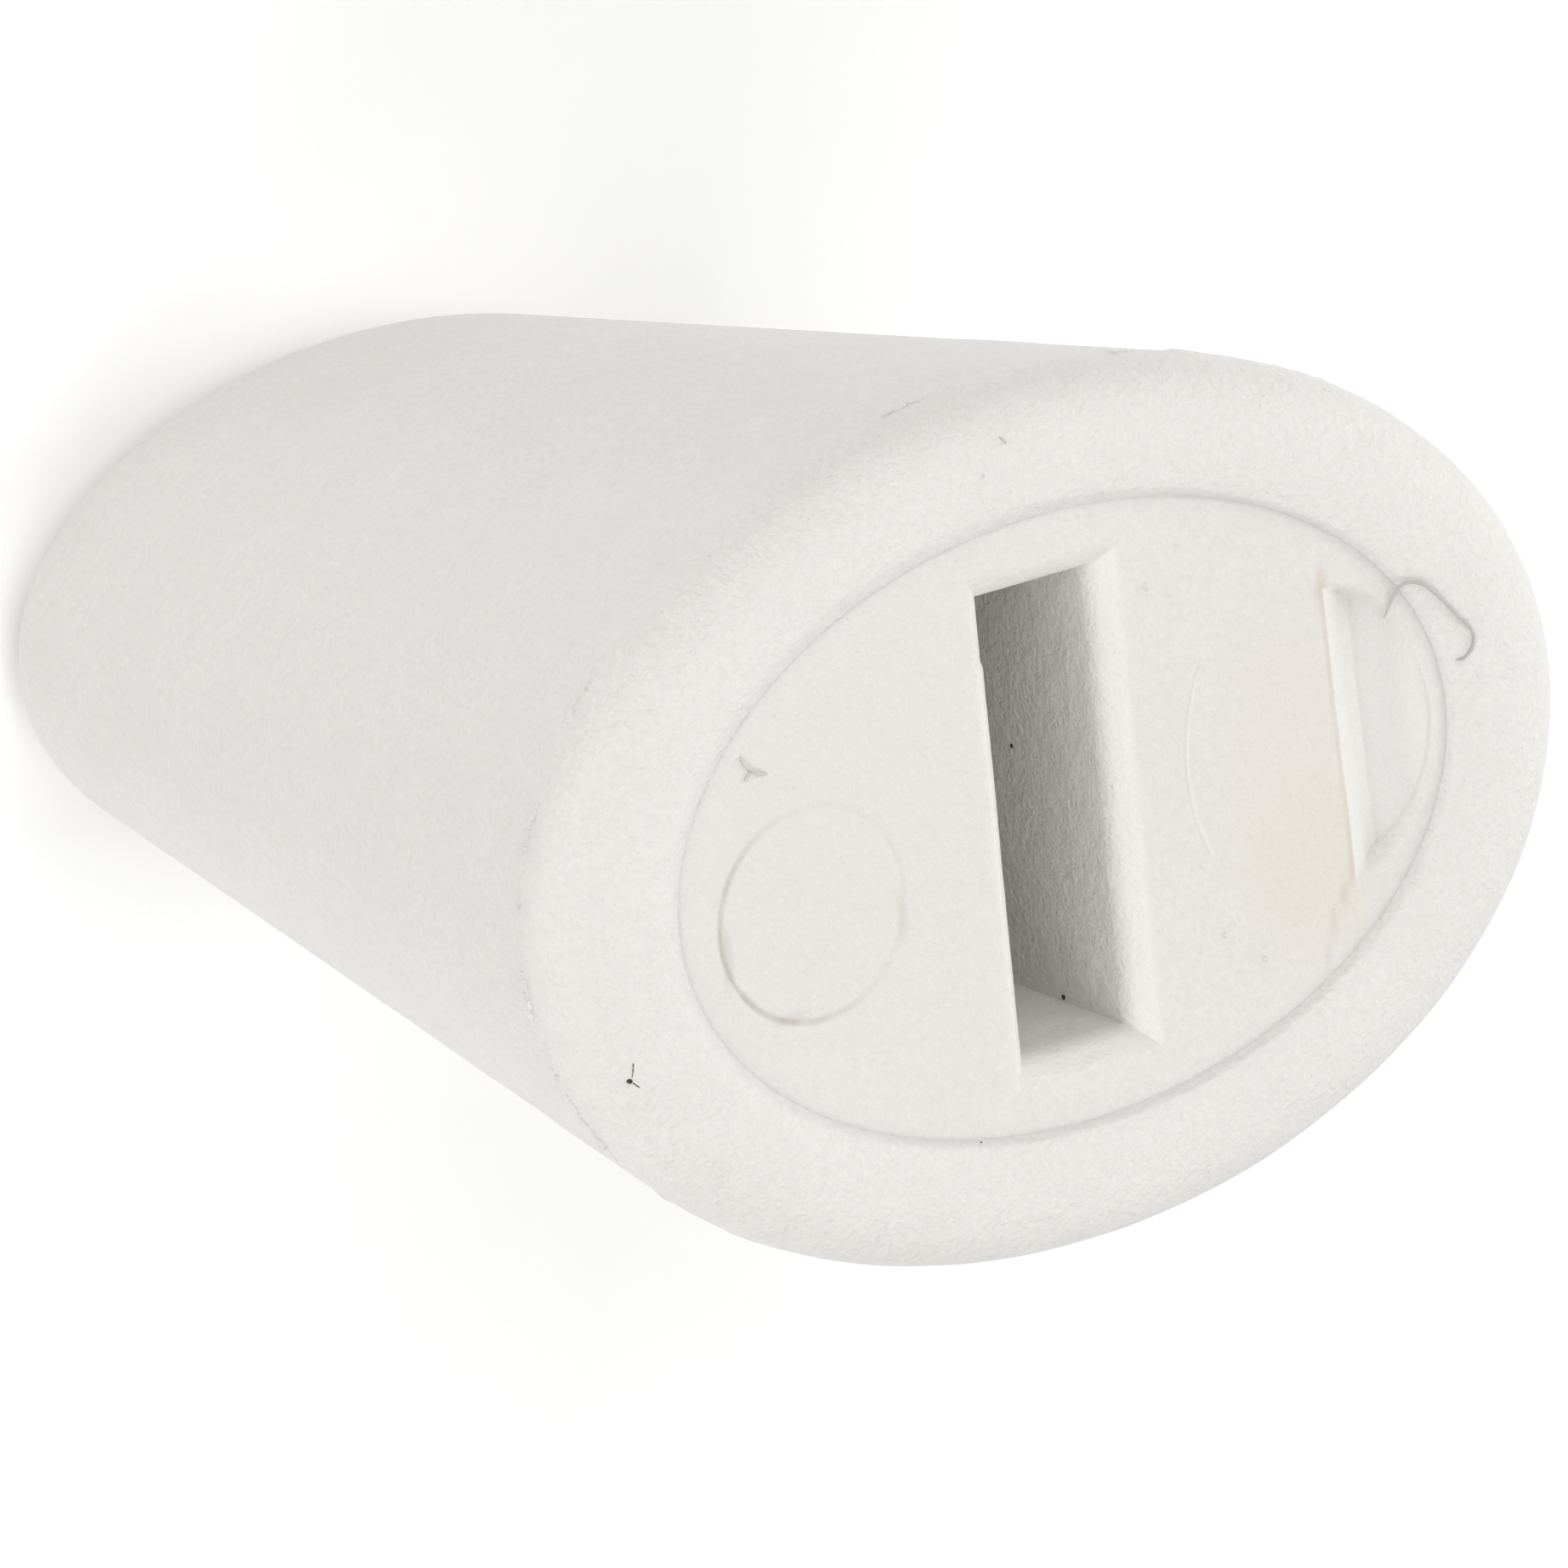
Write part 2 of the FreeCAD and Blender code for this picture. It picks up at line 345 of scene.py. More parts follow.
def pin_relief(x, y):
    """The pin mark: a low plateau in a groove that is deepest at its lower left."""
    pin_x, pin_y, pin_radius = PIN_MARK
    away = np.hypot(x - pin_x, y - pin_y) - pin_radius
    bearing = np.arctan2(y - pin_y, x - pin_x)
    lower_left = 0.22 + 0.78 * np.clip(np.cos(bearing - math.radians(205)), 0, 1) ** 1.3
    return 0.006 * (1 - smooth_step(away, -0.05, 0.02)) - 0.026 * lower_left * hump(away - 0.01, 0.020)


def arc_relief(x, y):
    """The left part of the gate disc's edge: a fine ridge beside a fine groove."""
    arc_x, arc_y, arc_radius = GATE_ARC
    past = np.hypot(x - arc_x, y - arc_y) - arc_radius
    west = (x < arc_x) * (1 - smooth_step(np.abs(y - arc_y), 0.7, 1.1))
    return west * 0.010 * (hump(past - 0.03, 0.03) - hump(past + 0.02, 0.025))


def pocket_relief(x, y):
    """The gate pocket: a raised lip, a ramp down from the chord, and a floor that climbs to the wall."""
    gate_x, gate_y, gate_radius = GATE_DISC
    away = np.hypot(x - gate_x, y - gate_y) - gate_radius
    along = (x - POCKET_CHORD_X) * math.cos(POCKET_TURN) + y * math.sin(POCKET_TURN)
    lip = 0.012 * hump(along + 0.02, 0.03) * (1 - smooth_step(away, -0.08, 0.02))
    lip = lip * (0.7 + 0.3 * np.sin(9 * y + 1.0))
    ramp = np.clip(along / POCKET_SLOPE, 0, 1)
    ramp = (ramp - 0.06 * np.sin(2 * math.pi * ramp)) * POCKET_DEPTH
    run = gate_x + gate_radius - POCKET_CHORD_X - POCKET_SLOPE
    climb = (1 - (1 - np.clip((along - POCKET_SLOPE) / run, 0, 1)) ** 2) * POCKET_RISE
    return lip - (ramp - climb) * (1 - smooth_step(away, -0.05, 0.01)) * (along > 0)


def flow_relief(x, y):
    """The faint groove from the pocket's corner to the face's edge."""
    height = np.zeros_like(x)
    for start, end in zip(FLOW_LINE[:-1], FLOW_LINE[1:]):
        reach = math.dist(start, end)
        unit = ((end[0] - start[0]) / reach, (end[1] - start[1]) / reach)
        share = np.clip((x - start[0]) * unit[0] + (y - start[1]) * unit[1], 0, reach)
        off = np.hypot(x - start[0] - share * unit[0], y - start[1] - share * unit[1])
        height -= FLOW_LINE_DEPTH * hump(off, FLOW_LINE_WIDTH)
    return height


def face_relief(x, y):
    """Height of the insert's face above its plane, from its marks."""
    return pin_relief(x, y) + arc_relief(x, y) + pocket_relief(x, y) + flow_relief(x, y)


def bevel_drop(beyond):
    """How far the surface lies under the face this far outside the mouth's outline, softly rounded."""
    steepness = MOUTH_BEVEL_DEPTH / MOUTH_BEVEL
    return steepness * BEVEL_SOFTNESS * np.logaddexp(0, -beyond / BEVEL_SOFTNESS)


def mouth_profile():
    """(offset from the socket wall, z) up the mouth's bevel, its foot softly broken."""
    low_z = BEVEL_FOOT_Z - BEVEL_FOOT_BREAK
    high_z = FACE_Z - bevel_drop(BEVEL_STRAIGHT_FROM - MOUTH_BEVEL)
    profile = []
    for t in np.linspace(0, 1, 8):
        profile.append((t * t * BEVEL_STRAIGHT_FROM,
                        (1 - t) ** 2 * low_z + 2 * t * (1 - t) * BEVEL_FOOT_Z + t * t * high_z))
    for offset in np.linspace(BEVEL_STRAIGHT_FROM + 0.012, MOUTH_BEVEL, 8):
        profile.append((offset, FACE_Z - bevel_drop(offset - MOUTH_BEVEL)))
    return profile


def roughen_insert(points):
    """Moves the points a little: waves on the face, and a step in the socket's left wall."""
    out = np.hypot(points[:, 0] / FACE_HALF_LENGTH, points[:, 1] / FACE_HALF_WIDTH)
    upper = smooth_step(points[:, 2], FACE_Z - 0.5, FACE_Z - 0.2) * (1 - smooth_step(out, *FACE_WAVES_FADE))
    points[:, 2] += upper * sum(waves(points, *layer) for layer in FACE_WAVES)
    x, y, z = points.T
    on_left_wall = (x < 0) * (x > -MOUTH_HALF_X - 0.01) * (y > -MOUTH_HALF_Y + 0.11)
    step = on_left_wall * smooth_step(-y, -WALL_STEP_START[1], -WALL_STEP_START[0])
    points[:, 0] += WALL_STEP_HEIGHT * step * smooth_step(z, FACE_Z - 0.9, FACE_Z - 0.2)


def make_insert():
    angles = slot_rays()
    count = len(angles)
    edge_x = FACE_HALF_LENGTH * np.cos(angles)
    edge_y = FACE_HALF_WIDTH * np.sin(angles)
    deepest = (BEVEL_FOOT_Z - SOCKET_FLOOR_Z) * SOCKET_DRAFT
    rings = []
    for share in (0.04, 0.5, 0.97, 1.0):
        rings.append(rectangle_ring(angles, (SOCKET_HALF_X - deepest) * share,
                                    (SOCKET_HALF_Y - deepest) * share, SOCKET_FLOOR_Z))
    for z in np.linspace(SOCKET_FLOOR_Z, BEVEL_FOOT_Z - BEVEL_FOOT_BREAK, 12)[1:-1]:
        shrink = (BEVEL_FOOT_Z - z) * SOCKET_DRAFT
        rings.append(rectangle_ring(angles, SOCKET_HALF_X - shrink, SOCKET_HALF_Y - shrink, z))
    for offset, z in mouth_profile():
        rings.append(rectangle_ring(angles, SOCKET_HALF_X + offset, SOCKET_HALF_Y + offset, z))
    mouth = rings[-1]
    for s in np.concatenate([np.linspace(0.005, 0.985, 130), [0.993, 1.0]]):
        x = mouth[:, 0] + (edge_x - mouth[:, 0]) * s
        y = mouth[:, 1] + (edge_y - mouth[:, 1]) * s
        beyond = np.maximum(np.abs(x) - MOUTH_HALF_X, np.abs(y) - MOUTH_HALF_Y)
        rings.append(np.stack([x, y, FACE_Z + face_relief(x, y) - bevel_drop(beyond)], 1))
    for z in (FACE_Z - 0.09, FACE_Z - 0.3, 10.0, 8.0, SEAT_Z + LEAD_IN):
        shrink = (FACE_Z - z) * OPENING_DRAFT
        rings.append(np.stack([edge_x * (1 - shrink / FACE_HALF_LENGTH),
                               edge_y * (1 - shrink / FACE_HALF_WIDTH), np.full(count, z)], 1))
    end = rings[-1] * [1 - LEAD_IN / FACE_HALF_LENGTH, 1 - LEAD_IN / FACE_HALF_WIDTH, 1]
    end[:, 2] = SEAT_Z
    rings.append(end)
    rings.append(end * [0.5, 0.5, 1])
    points, faces = closed_loft(rings, (0, 0, SOCKET_FLOOR_Z), (0, 0, SEAT_Z))
    roughen_insert(points)
    faces = [tuple(reversed(face)) for face in faces]
    return mesh_object("insert_skin", points, faces, 60)


# Small trim: flash along the parting line, a whisker of flash, burrs, crumbs and specks of dirt

def surface_tree(*objects):
    """One search tree over several meshes, in metres."""
    vertices = []
    polygons = []
    for obj in objects:
        start = len(vertices)
        vertices += [vertex.co.copy() for vertex in obj.data.vertices]
        polygons += [[start + i for i in polygon.vertices] for polygon in obj.data.polygons]
    return BVHTree.FromPolygons(vertices, polygons)


def on_surface(tree, x, y, lift=0.0):
    """The point straight below (x, y), in millimetres, raised by lift."""
    hit = tree.ray_cast(Vector((x, y, TOP_Z + 2)) * MM, Vector((0, 0, -1)))
    return Vector((x, y, hit[0].z / MM + lift))


def on_parting(degrees, lift=0.0, rise=0.0):
    """A point on the parting line at this angle round the oval."""
    angle = math.radians(degrees)
    out = Vector((math.cos(angle) / HALF_LENGTH, math.sin(angle) / HALF_WIDTH, 0)).normalized()
    place = Vector((HALF_LENGTH * math.cos(angle), HALF_WIDTH * math.sin(angle), PARTING_Z + rise))
    return place + out * lift


def smooth_path(points, steps):
    """A Catmull-Rom path through given points."""
    path = []
    padded = [points[0] * 2 - points[1]] + list(points) + [points[-1] * 2 - points[-2]]
    for i in range(len(points) - 1):
        a, b, c, d = padded[i:i + 4]
        for k in range(steps):
            t = k / steps
            path.append(0.5 * (2 * b + (c - a) * t + (2 * a - 5 * b + 4 * c - d) * t * t
                               + (3 * b - a - 3 * c + d) * t ** 3))
    path.append(Vector(points[-1]))
    return path


def thread(path, radius, sides=10, unevenness=0.0, seed=1):
    """Points and faces of a closed tube along a path, tapered at both ends."""
    local = np.random.default_rng(seed)
    vertices = []
    faces = []
    for i, point in enumerate(path):
        ahead = path[min(i + 1, len(path) - 1)] - path[max(i - 1, 0)]
        side = ahead.cross(Vector((0, 0, 1)))
        side = side.normalized() if side.length > 1e-6 else Vector((1, 0, 0))
        up = side.cross(ahead).normalized()
        share = i / (len(path) - 1)
        size = radius * (0.25 + 0.75 * min(1, 6 * share, 6 * (1 - share)) ** 0.5)
        size *= 1 + unevenness * local.uniform(-1, 1)
        for k in range(sides):
            turn = 2 * math.pi * k / sides
            vertices.append(point + (side * math.cos(turn) + up * math.sin(turn)) * size)
    for i in range(len(path) - 1):
        for k in range(sides):
            m = (k + 1) % sides
            faces.append((i * sides + k, i * sides + m, (i + 1) * sides + m, (i + 1) * sides + k))
    vertices += [path[0], path[-1]]
    last = (len(path) - 1) * sides
    for k in range(sides):
        m = (k + 1) % sides
        faces.append((len(vertices) - 2, m, k))
        faces.append((len(vertices) - 1, last + k, last + m))
    return vertices, faces


def grain(centre, radius, seed, stretch=(1, 1, 1)):
    """Points and faces of a small lumpy closed crumb."""
    local = np.random.default_rng(seed)
    shape = bmesh.new()
    bmesh.ops.create_icosphere(shape, subdivisions=2, radius=1)
    tilt = local.normal(size=3)
    vertices = []
    for vertex in shape.verts:
        lump = 1 + 0.22 * math.sin(3 * vertex.co.dot(Vector(tilt)) + local.uniform(0, 0.6))
        arm = Vector([vertex.co[i] * stretch[i] for i in range(3)])
        vertices.append(Vector(centre) + arm * radius * lump)
    faces = [tuple(v.index for v in face.verts) for face in shape.faces]
    shape.free()
    return vertices, faces


def joined(name, shapes):
    """One object of several closed shapes."""
    vertices = []
    faces = []
    for shape_vertices, shape_faces in shapes:
        start = len(vertices)
        vertices += [tuple(v) for v in shape_vertices]
        faces += [tuple(start + i for i in face) for face in shape_faces]
    return mesh_object(name, vertices, faces)


def make_flash():
    """Crumbs of flash left along the parting line: start and end angle, thickness."""
    runs = [(98.8, 100.2, 0.014), (101.2, 103.6, 0.016), (144.6, 146.4, 0.014), (147.8, 149.4, 0.013),
            (161.0, 163.6, 0.026), (164.4, 166.6, 0.022), (172.8, 173.8, 0.016), (182.4, 184.8, 0.024),
            (185.2, 188.2, 0.030), (196.0, 197.0, 0.014), (199.8, 202.6, 0.016), (203.0, 205.8, 0.026),
            (206.4, 208.6, 0.032), (209.8, 210.6, 0.016), (24.0, 26.0, 0.014), (75.0, 77.5, 0.013),
            (262.0, 265.0, 0.016), (331.0, 333.0, 0.014)]
    shapes = []
    for index, (start, end, thickness) in enumerate(runs):
        local = np.random.default_rng(100 + index)
        points = []
        for angle in np.linspace(start, end, 5):
            points.append(on_parting(angle, 0.002, local.uniform(-0.03, 0.03)))
        shapes.append(thread(smooth_path(points, 5), thickness, 8, 0.35, 200 + index))
        beside = on_parting(start - 0.6, 0.0, local.uniform(-0.03, 0.03))
        shapes.append(grain(beside, thickness * 0.8, 300 + index))
    return joined("parting_flash", shapes)


def make_whisker():
    """A hair-thin whisker of flash, caught on the rim beside the gate pocket."""
    places = [(3.500, 0.965, 11.90), (3.545, 1.075, 11.93), (3.590, 1.185, 11.97), (3.695, 1.270, 12.00),
              (3.858, 1.224, 12.02), (4.011, 1.084, 12.02), (4.193, 0.865, 12.02), (4.342, 0.686, 12.02),
              (4.355, 0.548, 12.02), (4.261, 0.439, 12.00), (4.170, 0.430, 11.99)]
    points = [Vector(place) for place in places]
    return joined("flash_whisker", [thread(smooth_path(points, 14), 0.0155, 10, 0.05, 3)])


def make_burrs(tree):
    """Torn burrs: a forked one on the face's edge and a short one on the rim."""
    arms = [[(-3.31, 1.40), (-3.27, 1.32), (-3.20, 1.25), (-3.13, 1.205), (-3.05, 1.18)],
            [(-3.20, 1.25), (-3.25, 1.215), (-3.285, 1.17)],
            [(-0.385, 3.60), (-0.36, 3.57), (-0.32, 3.525)]]
    shapes = []
    for index, (arm, radius) in enumerate(zip(arms, (0.021, 0.018, 0.009))):
        points = [on_surface(tree, x, y, 0.004) for x, y in arm]
        shapes.append(thread(smooth_path(points, 6), radius, 8, 0.25, 40 + index))
    return joined("burrs", shapes)


def make_crumbs(tree):
    """Low pimples of plastic on the face and the rim: place, radius."""
    places = [(1.035, 1.875, 0.045), (1.936, -1.796, 0.035), (1.527, -1.476, 0.030), (-0.62, 3.30, 0.020)]
    shapes = []
    for index, (x, y, radius) in enumerate(places):
        shapes.append(grain(on_surface(tree, x, y, -0.2 * radius), radius, 44 + index, (1, 1, 0.45)))
    return joined("crumbs", shapes)


def make_dirt(tree):
    """Dark specks: one on the rim with its two tails, one on the seam, and two on the socket's walls."""
    shapes = [grain(on_surface(tree, -4.795, -1.155), 0.026, 51, (1.1, 0.9, 0.8))]
    for index, tail in enumerate([[(-4.775, -1.13), (-4.765, -1.05), (-4.76, -0.99)],
                                  [(-4.775, -1.175), (-4.74, -1.21), (-4.71, -1.235)]]):
        points = [on_surface(tree, x, y, 0.001) for x, y in tail]
        shapes.append(thread(smooth_path(points, 6), 0.005, 8, 0.3, 52 + index))
    shapes.append(grain(on_surface(tree, -1.241, -2.668), 0.010, 56, (1.3, 0.8, 0.6)))
    shapes.append(grain((0.563, 0.19, 10.22), 0.020, 54, (0.5, 1, 1)))
    shapes.append(grain((0.566, -2.06, 10.66), 0.024, 55, (0.5, 1, 1)))
    return joined("dirt_specks", shapes)


# Materials

class Nodes:
    """Short hands for building one material's node tree."""

    def __init__(self, name):
        self.material = bpy.data.materials.new(name)
        self.material.use_nodes = True
        self.tree = self.material.node_tree
        self.shader = self.tree.nodes["Principled BSDF"]
        self.place = self.tree.nodes.new("ShaderNodeTexCoord").outputs["Object"]

    def link(self, value, socket):
        if isinstance(value, bpy.types.NodeSocket):
            self.tree.links.new(value, socket)
        else:
            socket.default_value = value

    def math(self, operation, first, second=0.0, clamp=False):
        node = self.tree.nodes.new("ShaderNodeMath")
        node.operation = operation
        node.use_clamp = clamp
        self.link(first, node.inputs[0])
        self.link(second, node.inputs[1])
        return node.outputs[0]

    def noise(self, grain_mm, detail=3.0, roughness=0.5):
        node = self.tree.nodes.new("ShaderNodeTexNoise")
        node.inputs["Scale"].default_value = 1 / (grain_mm * MM)
        node.inputs["Detail"].default_value = detail
        node.inputs["Roughness"].default_value = roughness
        self.link(self.place, node.inputs["Vector"])
        return node.outputs["Fac"]

    def range(self, value, from_low, from_high, to_low=0.0, to_high=1.0):
        node = self.tree.nodes.new("ShaderNodeMapRange")
        node.interpolation_type = "SMOOTHSTEP"
        self.link(value, node.inputs["Value"])
        node.inputs["From Min"].default_value = from_low
        node.inputs["From Max"].default_value = from_high
        node.inputs["To Min"].default_value = to_low
        node.inputs["To Max"].default_value = to_high
        return node.outputs["Result"]

    def distance_to(self, x, y, half_x=1.0, half_y=1.0):
        """Distance in millimetres from an upright line over (x, y), each axis divided by its half size."""
        shift = self.tree.nodes.new("ShaderNodeVectorMath")
        shift.operation = "SUBTRACT"
        self.link(self.place, shift.inputs[0])
        shift.inputs[1].default_value = (x * MM, y * MM, 0)
        scale = self.tree.nodes.new("ShaderNodeVectorMath")
        scale.operation = "MULTIPLY"
        self.link(shift.outputs[0], scale.inputs[0])
        scale.inputs[1].default_value = (1 / (half_x * MM), 1 / (half_y * MM), 0)
        length = self.tree.nodes.new("ShaderNodeVectorMath")
        length.operation = "LENGTH"
        self.link(scale.outputs[0], length.inputs[0])
        return length.outputs["Value"]

    def ring_distance(self, x, y, radius):
        """Distance in millimetres from an upright tube round (x, y)."""
        return self.math("ABSOLUTE", self.math("SUBTRACT", self.distance_to(x, y), radius))

    def band(self, value, low_start, low_end, high_start, high_end):
        """1 between two soft limits, 0 outside them."""
        return self.math("MULTIPLY", self.range(value, low_start, low_end),
                         self.range(value, high_start, high_end, 1.0, 0.0))

    def along(self, direction, offset=0.0, absolute=False):
        """Millimetres along a direction, less an offset."""
        node = self.tree.nodes.new("ShaderNodeVectorMath")
        node.operation = "DOT_PRODUCT"
        self.link(self.place, node.inputs[0])
        node.inputs[1].default_value = direction
        length = self.math("DIVIDE", node.outputs["Value"], MM)
        if absolute:
            length = self.math("ABSOLUTE", length)
        return self.math("SUBTRACT", length, offset)

    def mix(self, share, first, second):
        node = self.tree.nodes.new("ShaderNodeMix")
        node.data_type = "RGBA"
        self.link(share, node.inputs["Factor"])
        for value, socket in ((first, node.inputs["A"]), (second, node.inputs["B"])):
            if isinstance(value, tuple):
                socket.default_value = (*value, 1)
            else:
                self.link(value, socket)
        return node.outputs["Result"]

    def bump(self, height, depth_mm, under=None):
        node = self.tree.nodes.new("ShaderNodeBump")
        node.inputs["Distance"].default_value = depth_mm * MM
        node.inputs["Strength"].default_value = 1.0
        self.link(height, node.inputs["Height"])
        if under is not None:
            self.link(under, node.inputs["Normal"])
        return node.outputs["Normal"]


def plastic(name, color, shade, grain_mm, grain_depth_mm, roughness):
    """Off-white moulded plastic with a fine tool grain. Returns its nodes, colour and bump to build on."""
    nodes = Nodes(name)
    mottle = nodes.range(nodes.noise(1.1, 4.0, 0.6), 0.35, 0.65)
    speckle = nodes.range(nodes.noise(0.07, 2.0), 0.3, 0.7)
    tone = nodes.mix(mottle, color, shade)
    tone = nodes.mix(nodes.math("MULTIPLY", speckle, 0.7), tone, tuple(c * 0.955 for c in shade))
    bump = nodes.bump(nodes.noise(grain_mm, 3.0, 0.55), grain_depth_mm)
    bump = nodes.bump(nodes.noise(grain_mm * 6, 2.0), grain_depth_mm * 1.2, bump)
    rough = nodes.range(nodes.noise(grain_mm * 3, 2.0), 0.3, 0.7, roughness - 0.05, roughness + 0.05)
    nodes.link(rough, nodes.shader.inputs["Roughness"])
    nodes.shader.inputs["Subsurface Weight"].default_value = 0.25
    nodes.shader.inputs["Subsurface Radius"].default_value = (1.0, 0.9, 0.75)
    nodes.shader.inputs["Subsurface Scale"].default_value = 0.25 * MM
    nodes.shader.inputs["IOR"].default_value = 1.46
    return nodes, tone, bump


def finish_material(nodes, tone, bump):
    nodes.link(tone, nodes.shader.inputs["Base Color"])
    nodes.link(bump, nodes.shader.inputs["Normal"])
    return nodes.material


def plain_plastic(name, color, shade, grain_mm, grain_depth_mm, roughness):
    nodes, tone, bump = plastic(name, color, shade, grain_mm, grain_depth_mm, roughness)
    return finish_material(nodes, tone, bump)


def stained(nodes, tone):
    """Tan by the gate, tan chord ends and grimy patches, with uneven edges."""
    for x, y, half_x, half_y, softness, strength, color in STAINS:
        away = nodes.distance_to(x, y, half_x, half_y)
        wobble = nodes.math("MULTIPLY", nodes.math("SUBTRACT", nodes.noise(0.35, 3.0), 0.5), 0.9)
        share = nodes.range(nodes.math("ADD", away, wobble), 1 - softness, 1 + softness, 1.0, 0.0)
        tone = nodes.mix(nodes.math("MULTIPLY", share, strength), tone, color)
    return tone


def pocket_painted_light_and_shade(nodes, tone):
    """A ramp and an upper floor painted paler as painted light, a lower floor painted darker as painted
    shade, and a tan line along the chord.
    """
    gate_x, gate_y, gate_radius = GATE_DISC
    in_disc = nodes.range(nodes.distance_to(gate_x, gate_y), gate_radius - 0.05, gate_radius, 1.0, 0.0)
    chord = nodes.along((math.cos(POCKET_TURN), math.sin(POCKET_TURN), 0), POCKET_CHORD_X)
    ramp = nodes.band(chord, 0.0, 0.04, 0.35, 0.42)
    floor_low = nodes.band(chord, 0.35, 0.42, 0.62, 0.88)
    floor_high = nodes.range(chord, 0.70, 0.95)
    edge = nodes.range(nodes.math("ABSOLUTE", nodes.math("ADD", chord, 0.012)), 0.010, 0.040, 0.5, 0.0)
    # painted light on the ramp and upper floor, painted shade on the lower floor, then the tan chord line
    for share, color in ((ramp, RAMP_PAINTED_LIGHT), (floor_low, POCKET_PAINTED_SHADE), (floor_high, POCKET_PAINTED_LIGHT),
                         (edge, CHORD_TAN)):
        tone = nodes.mix(nodes.math("MULTIPLY", share, in_disc), tone, color)
    return tone


def arcs_painted_shade_and_highlight(nodes, tone):
    """Painted shade and painted highlight as fine lines along the gate disc's edge: a painted-shade line at
    the pocket's lower right, and on the left arc a painted-shade line beside a painted-highlight line.
    """
    gate_x, gate_y, gate_radius = GATE_DISC
    arc_x, arc_y, arc_radius = GATE_ARC
    lower_right = nodes.range(nodes.distance_to(gate_x + 1.25, gate_y - 0.65), 0.55, 1.15, 0.45, 0.0)
    left = nodes.range(nodes.distance_to(1.42, 0.10), 0.65, 1.15, 0.45, 0.0)
    for x, y, radius, width, strength, color in (
            (gate_x, gate_y, gate_radius - 0.06, 0.035, lower_right, ARC_PAINTED_SHADE),
            (arc_x, arc_y, arc_radius, 0.030, left, ARC_PAINTED_SHADE),
            (arc_x, arc_y, arc_radius - 0.035, 0.025, left, ARC_PAINTED_HIGHLIGHT)):
        line = nodes.range(nodes.ring_distance(x, y, radius), 0.0, width, 1.0, 0.0)
        tone = nodes.mix(nodes.math("MULTIPLY", line, strength), tone, color)
    return tone


def bevel_painted_light(nodes, tone):
    """The socket mouth's bevel, painted paler as painted light."""
    beyond = nodes.math("MAXIMUM", nodes.along((1, 0, 0), SOCKET_HALF_X, True),
                        nodes.along((0, 1, 0), SOCKET_HALF_Y, True))
    return nodes.mix(nodes.band(beyond, 0.0, 0.08, 0.15, 0.24), tone, BEVEL_PAINTED_LIGHT)


def pin_grime_and_painted_shade(nodes, tone):
    """Patchy grime and painted shade in the pin mark's groove, strongest at its lower left."""
    pin_x, pin_y, pin_radius = PIN_MARK
    ring = nodes.range(nodes.ring_distance(pin_x, pin_y, pin_radius + 0.015), 0.010, 0.050, 1.0, 0.0)
    lower_left = nodes.range(nodes.distance_to(pin_x - 0.72, pin_y - 0.34), 0.60, 1.55, 0.58, 0.10)
    patchy = nodes.math("MULTIPLY", nodes.range(nodes.noise(0.3, 2.0), 0.35, 0.60, 0.55, 1.0), lower_left)
    return nodes.mix(nodes.math("MULTIPLY", ring, patchy), tone, GRIME_AND_PAINTED_SHADE)


def insert_plastic():
    nodes, tone, bump = plastic("insert_plastic", INSERT_WHITE, INSERT_SHADE, 0.050, 0.0200, 0.55)
    for layer in (stained, pocket_painted_light_and_shade, arcs_painted_shade_and_highlight, bevel_painted_light, pin_grime_and_painted_shade):
        tone = layer(nodes, tone)
    return finish_material(nodes, tone, bump)


# Scene

def camera():
    data = bpy.data.cameras.new("camera")
    data.sensor_width = 36.0
    data.lens = CAMERA_LENS
    data.clip_start = 0.01
    obj = bpy.data.objects.new("camera", data)
    bpy.context.scene.collection.objects.link(obj)
    azimuth = math.radians(CAMERA_AZIMUTH)
    elevation = math.radians(CAMERA_ELEVATION)
    toward = Vector((math.cos(azimuth) * math.cos(elevation), math.sin(azimuth) * math.cos(elevation),
                     math.sin(elevation)))
    level = toward.to_track_quat("Z", "Y").to_matrix()
    roll = Matrix.Rotation(math.radians(-CAMERA_ROLL), 3, "Z")
    pose = (level @ roll).to_4x4()
    pose.translation = (Vector(CAMERA_AIM) + toward * CAMERA_DISTANCE) * MM
    obj.matrix_world = pose
    bpy.context.scene.camera = obj


def area_light(name, place_mm, size_mm, power):
    data = bpy.data.lights.new(name, "AREA")
    data.size = size_mm * MM
    data.energy = power
    obj = bpy.data.objects.new(name, data)
    bpy.context.scene.collection.objects.link(obj)
    obj.location = Vector(place_mm) * MM
    aim = Vector(SOFTBOX_AIM) * MM - obj.location
    obj.rotation_euler = aim.to_track_quat("-Z", "Y").to_euler()


def studio():
    world = bpy.data.worlds.new("studio")
    world.use_nodes = True
    world.node_tree.nodes["Background"].inputs["Color"].default_value = (1, 1, 1, 1)
    world.node_tree.nodes["Background"].inputs["Strength"].default_value = 0.005
    bpy.context.scene.world = world
    bpy.context.scene.view_settings.view_transform = "Standard"
    for azimuth, elevation, power in SOFTBOXES:
        level = SOFTBOX_DISTANCE * math.cos(math.radians(elevation))
        place = (level * math.cos(math.radians(azimuth)), level * math.sin(math.radians(azimuth)),
                 SOFTBOX_AIM[2] + SOFTBOX_DISTANCE * math.sin(math.radians(elevation)))
        area_light(f"softbox_{azimuth}_{elevation}", place, SOFTBOX_SIZE, power)


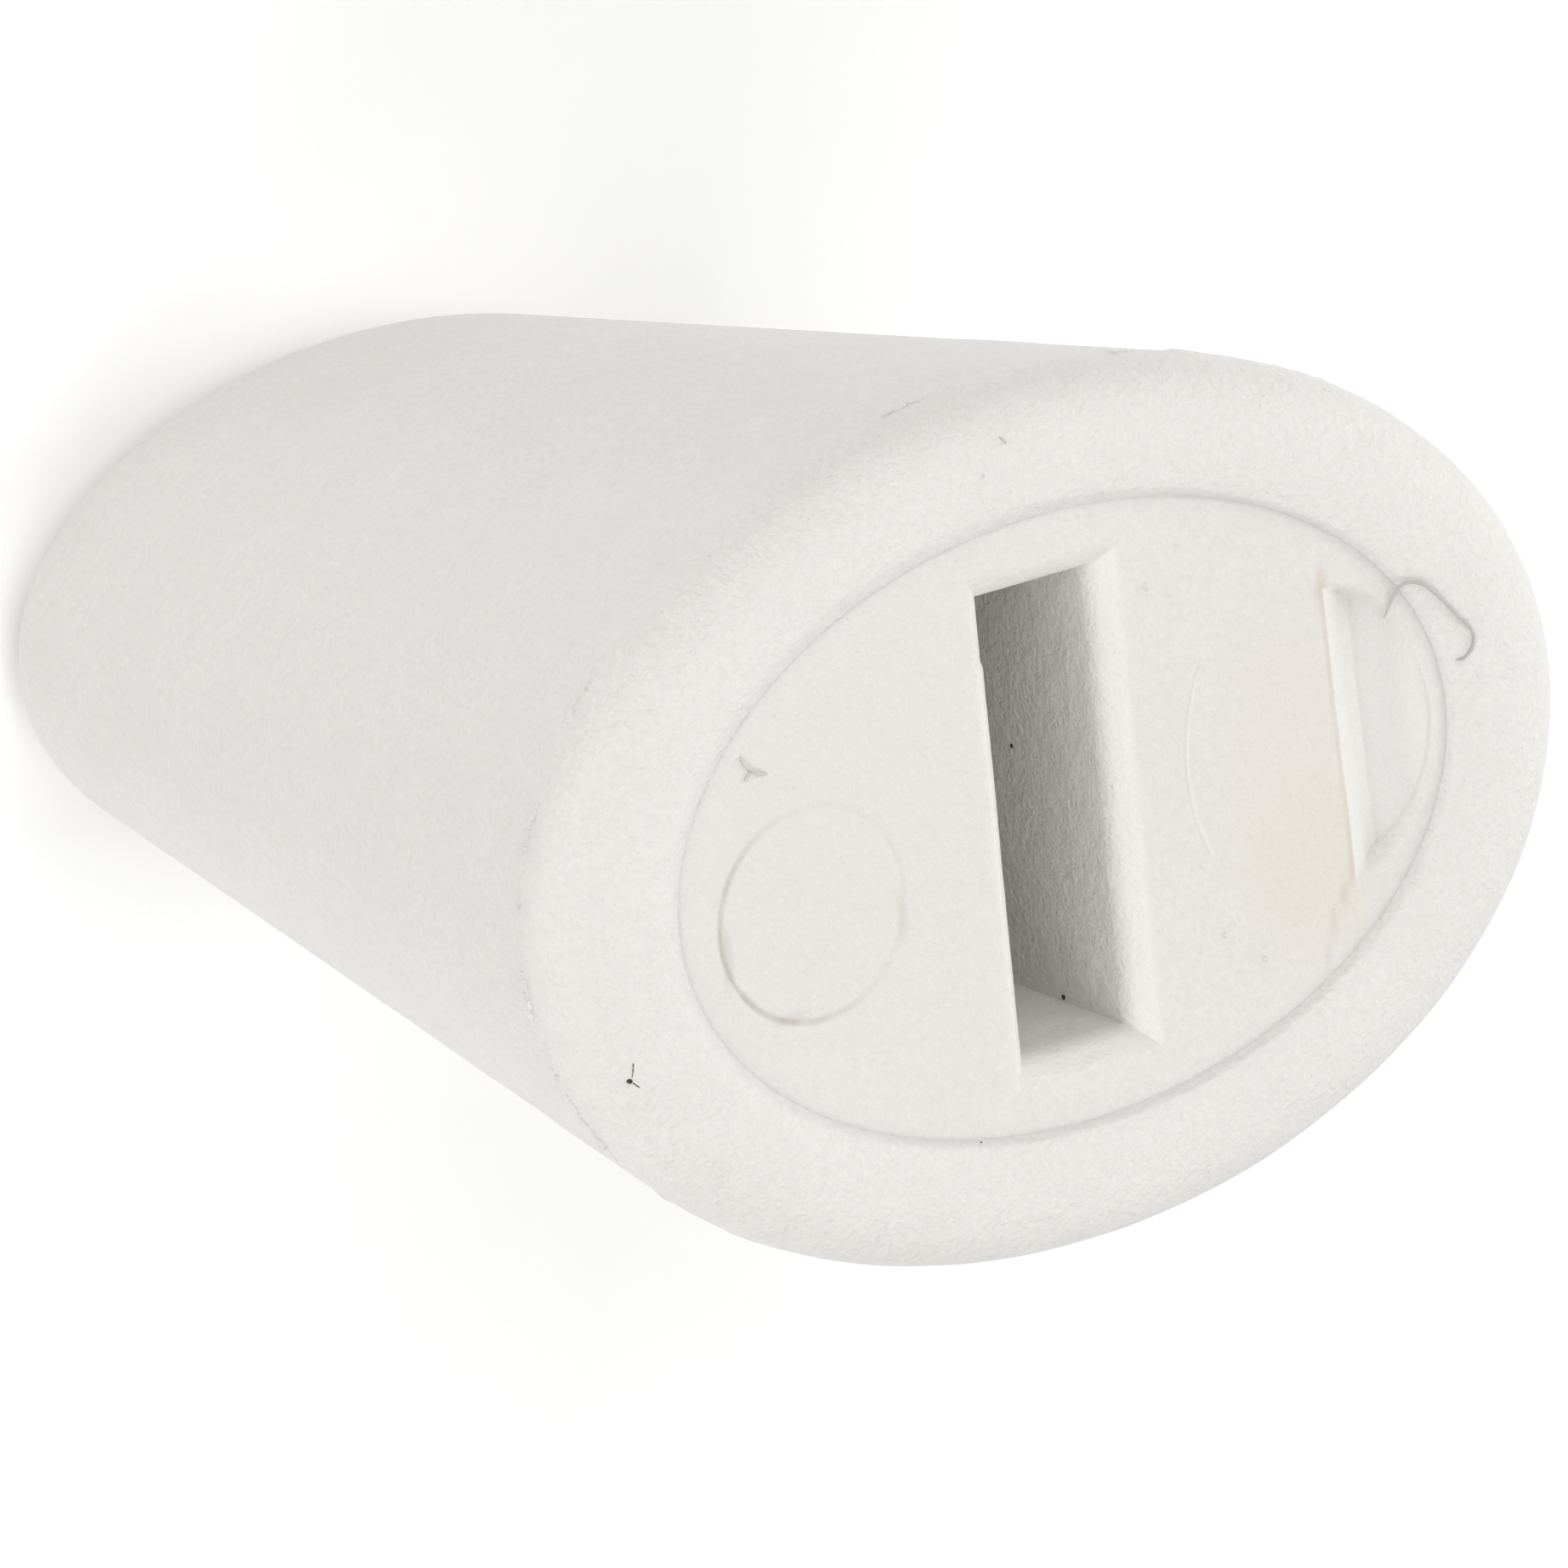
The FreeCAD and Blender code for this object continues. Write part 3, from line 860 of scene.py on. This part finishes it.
def floor():
    size = 400
    obj = mesh_object("floor", [(-size, -size, 0), (size, -size, 0), (size, size, 0), (-size, size, 0)],
                      [(0, 1, 2, 3)])
    nodes = Nodes("floor_paper")
    tone = nodes.mix(nodes.range(nodes.noise(3.0), 0.3, 0.7), (0.955, 0.955, 0.950), (0.945, 0.945, 0.940))
    nodes.link(tone, nodes.shader.inputs["Base Color"])
    nodes.shader.inputs["Roughness"].default_value = 0.8
    nodes.shader.inputs["Emission Color"].default_value = (1, 1, 1, 1)
    nodes.shader.inputs["Emission Strength"].default_value = 0.08
    obj.data.materials.append(nodes.material)


camera()
studio()
floor()

cap = make_cap()
insert = make_insert()
skin = surface_tree(cap, insert)
flash_plastic = plain_plastic("flash_plastic", (0.80, 0.79, 0.76), (0.76, 0.75, 0.72), 0.03, 0.004, 0.6)
whisker_plastic = plain_plastic("whisker_plastic", (0.50, 0.50, 0.485), (0.44, 0.44, 0.43), 0.03, 0.001, 0.5)
# The burrs' plastic is painted darker than the cap's, as painted shade
burr_plastic_painted_shade = plain_plastic("burr_plastic_painted_shade", (0.66, 0.65, 0.62), (0.60, 0.59, 0.56), 0.03, 0.002, 0.6)
crumb_plastic = plain_plastic("crumb_plastic", (0.80, 0.79, 0.76), (0.76, 0.75, 0.72), 0.03, 0.004, 0.6)
dirt = plain_plastic("dirt", (0.060, 0.052, 0.045), (0.035, 0.030, 0.026), 0.02, 0.002, 0.8)
pieces = [(cap, plain_plastic("cap_plastic", CAP_WHITE, CAP_SHADE, 0.060, 0.0300, 0.62), "cap_plastic"),
          (insert, insert_plastic(), "insert_plastic"),
          (make_flash(), flash_plastic, "cap_plastic"),
          (make_whisker(), whisker_plastic, "cap_plastic"),
          (make_burrs(skin), burr_plastic_painted_shade, "cap_plastic"),
          (make_crumbs(skin), crumb_plastic, "cap_plastic"),
          (make_dirt(skin), dirt, "cap_plastic")]
for piece, material, slot in pieces:
    piece.data.materials.append(material)
    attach(piece, "root")
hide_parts("outer_cap")
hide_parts("socket_insert")
